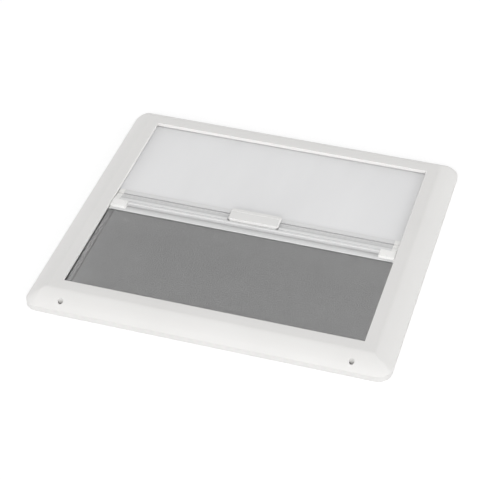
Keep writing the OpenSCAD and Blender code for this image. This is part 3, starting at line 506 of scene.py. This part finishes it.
def pile_brush(which):
    """A pile seal: a woven backing with rows of tapered bristles, each leaning a little its own way."""
    backing, columns, rows = 0.3 * MM, 42, 4
    low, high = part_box(which + "_pile_seal")
    x = np.linspace(low.x, high.x, columns)
    y = np.linspace(low.y, high.y, rows)
    points, top, under, rim = slab(x, y, np.full((rows, columns), low.z + backing / 2), backing)
    faces = top + under + rim

    foot_share, taper, sides = 0.8, 0.5, 3
    row_start, row_shift, row_end = 0.4 * MM, 0.15 * MM, 0.5 * MM
    draw = np.random.default_rng(seed=7)
    for row in range(BRISTLE_ROWS):
        row_y = low.y + (high.y - low.y) * (row + 0.5) / BRISTLE_ROWS
        for base in np.arange(low.x + row_start + row_shift * row, high.x - row_end, BRISTLE_PITCH):
            lean = draw.uniform(-BRISTLE_LEAN, BRISTLE_LEAN, 2)
            tip = high.z - draw.uniform(0, BRISTLE_UNEVEN)
            faces += prism(len(points), sides)
            foot = (base, row_y, low.z + foot_share * backing, BRISTLE_R)
            head = (base + lean[0], row_y + lean[1], tip, taper * BRISTLE_R)
            for ring_x, ring_y, height, r in (foot, head):
                for k in range(sides):
                    turn = 2 * math.pi * k / sides
                    px = min(high.x, ring_x + r * math.cos(turn))
                    py = min(high.y, max(low.y, ring_y + r * math.sin(turn)))
                    points.append((px, py, height))
    made = piece(which + "_pile_brush", points, faces, [PILE_YARN])
    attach(made, "frame")
    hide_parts(which + "_pile_seal")


blackout_cloth()
insect_threads()
wound_cloth("blind", 1, CLOTH_WHITE)
wound_cloth("screen", -1, SCREEN_YARN)
pile_brush("blind")
pile_brush("screen")


# Stage: a pale floor, soft light and the photograph's camera

def seen_directly(tree):
    """1 for rays from the camera, mirrors and glass, and 0 for the light that fills the scene."""
    path = node(tree, "LightPath")
    last = path.outputs["Is Camera Ray"]
    for name in ("Is Glossy Ray", "Is Transmission Ray"):
        either = node(tree, "Math", {"operation": "MAXIMUM"})
        tree.links.new(last, either.inputs[0])
        tree.links.new(path.outputs[name], either.inputs[1])
        last = either.outputs["Value"]
    return last


def lit_world(walls, ceiling, left):
    """A white studio whose walls are brighter than its ceiling, and brighter by a share on the left."""
    wall_top, ceiling_start = 0.1, 0.9
    world = bpy.data.worlds.new("studio")
    scene.world = world
    world.use_nodes = True
    tree = world.node_tree
    fill = tree.nodes["Background"]
    fill.inputs["Color"].default_value = WHITE
    split = node(tree, "SeparateXYZ")
    tree.links.new(node(tree, "TexCoord").outputs["Generated"], split.inputs["Vector"])
    rise = node(tree, "MapRange", From_Min=wall_top, From_Max=ceiling_start, To_Min=walls, To_Max=ceiling)
    tree.links.new(split.outputs["Z"], rise.inputs["Value"])
    lean = node(tree, "MapRange", From_Min=-1, From_Max=1, To_Min=1 + left, To_Max=1 - left)
    tree.links.new(split.outputs["X"], lean.inputs["Value"])
    level = node(tree, "Math", {"operation": "MULTIPLY"})
    tree.links.new(rise.outputs["Result"], level.inputs[0])
    tree.links.new(lean.outputs["Result"], level.inputs[1])
    tree.links.new(level.outputs["Value"], fill.inputs["Strength"])
    white = node(tree, "Background", Color=WHITE, Strength=1.0)
    mix = node(tree, "MixShader")
    tree.links.new(seen_directly(tree), mix.inputs["Fac"])
    tree.links.new(fill.outputs["Background"], mix.inputs[1])
    tree.links.new(white.outputs["Background"], mix.inputs[2])
    tree.links.new(mix.outputs["Shader"], tree.nodes["World Output"].inputs["Surface"])


def pale_floor(glow, tone, bounce):
    """A floor just under the object. It glows where it is seen directly, and is grey to other rays."""
    made, tree, bsdf = shader("floor_white")
    tree.nodes.remove(bsdf)
    fill = node(tree, "BsdfDiffuse", Color=(bounce, bounce, bounce, 1))
    shade = node(tree, "BsdfDiffuse", Color=(tone, tone, tone, 1))
    light = node(tree, "Emission", Color=WHITE, Strength=glow)
    both = node(tree, "AddShader")
    mix = node(tree, "MixShader")
    tree.links.new(shade.outputs["BSDF"], both.inputs[0])
    tree.links.new(light.outputs["Emission"], both.inputs[1])
    tree.links.new(seen_directly(tree), mix.inputs["Fac"])
    tree.links.new(fill.outputs["BSDF"], mix.inputs[1])
    tree.links.new(both.outputs["Shader"], mix.inputs[2])
    tree.links.new(mix.outputs["Shader"], tree.nodes["Material Output"].inputs["Surface"])
    half, low = 6.0, -0.1 * MM
    corners = [(-half, -half, low), (half, -half, low), (half, half, low), (-half, half, low)]
    floor = piece("floor", corners, [(0, 1, 2, 3)], [made])


def area_lamp(name, power, width, depth=None):
    """An area lamp: a disk of that width, or a rectangle where it has a depth too."""
    data = bpy.data.lights.new(name, "AREA")
    data.shape = "RECTANGLE" if depth else "DISK"
    data.size = width
    if depth:
        data.size_y = depth
    data.energy = power
    lamp = bpy.data.objects.new(name, data)
    scene.collection.objects.link(lamp)
    return lamp


def studio_lamp(name, power, direction):
    """A large soft lamp in some direction, turned to the object."""
    width, distance = 3.2, 6.0
    lamp = area_lamp(name, power, width)
    towards = Vector(direction).normalized()
    lamp.location = towards * distance
    lamp.rotation_euler = towards.to_track_quat("Z", "Y").to_euler()


def opening_lamp(power, width, depth, place):
    """Light that comes up through the mesh's half of the opening, as it does from the roof."""
    lamp = area_lamp("opening", power, width, depth)
    lamp.location = place
    lamp.rotation_euler = (math.pi, 0, 0)
    lamp.visible_camera = False


def photo_camera():
    """The photograph's camera, from its place, the point that it looks at and its roll."""
    data = bpy.data.cameras.new("photo_camera")
    data.sensor_width = CAMERA_SENSOR
    data.lens = CAMERA_LENS
    data.clip_end = CAMERA_REACH
    cam = bpy.data.objects.new("photo_camera", data)
    scene.collection.objects.link(cam)
    level = (CAMERA_TARGET - CAMERA_PLACE).to_track_quat("-Z", "Y").to_matrix().to_4x4()
    cam.matrix_world = Matrix.Translation(CAMERA_PLACE) @ level @ Matrix.Rotation(CAMERA_ROLL, 4, "Z")
    scene.camera = cam


lit_world(walls=1.8, ceiling=0.19, left=0.11)
pale_floor(glow=0.62, tone=0.47, bounce=0.5)
studio_lamp("key", power=130, direction=(0.15, -0.85, 0.5))
studio_lamp("side", power=55, direction=(0.95, 0.05, 0.42))
opening_lamp(power=0.28, width=0.409, depth=0.175, place=(0, -0.1025, 1 * MM))
photo_camera()
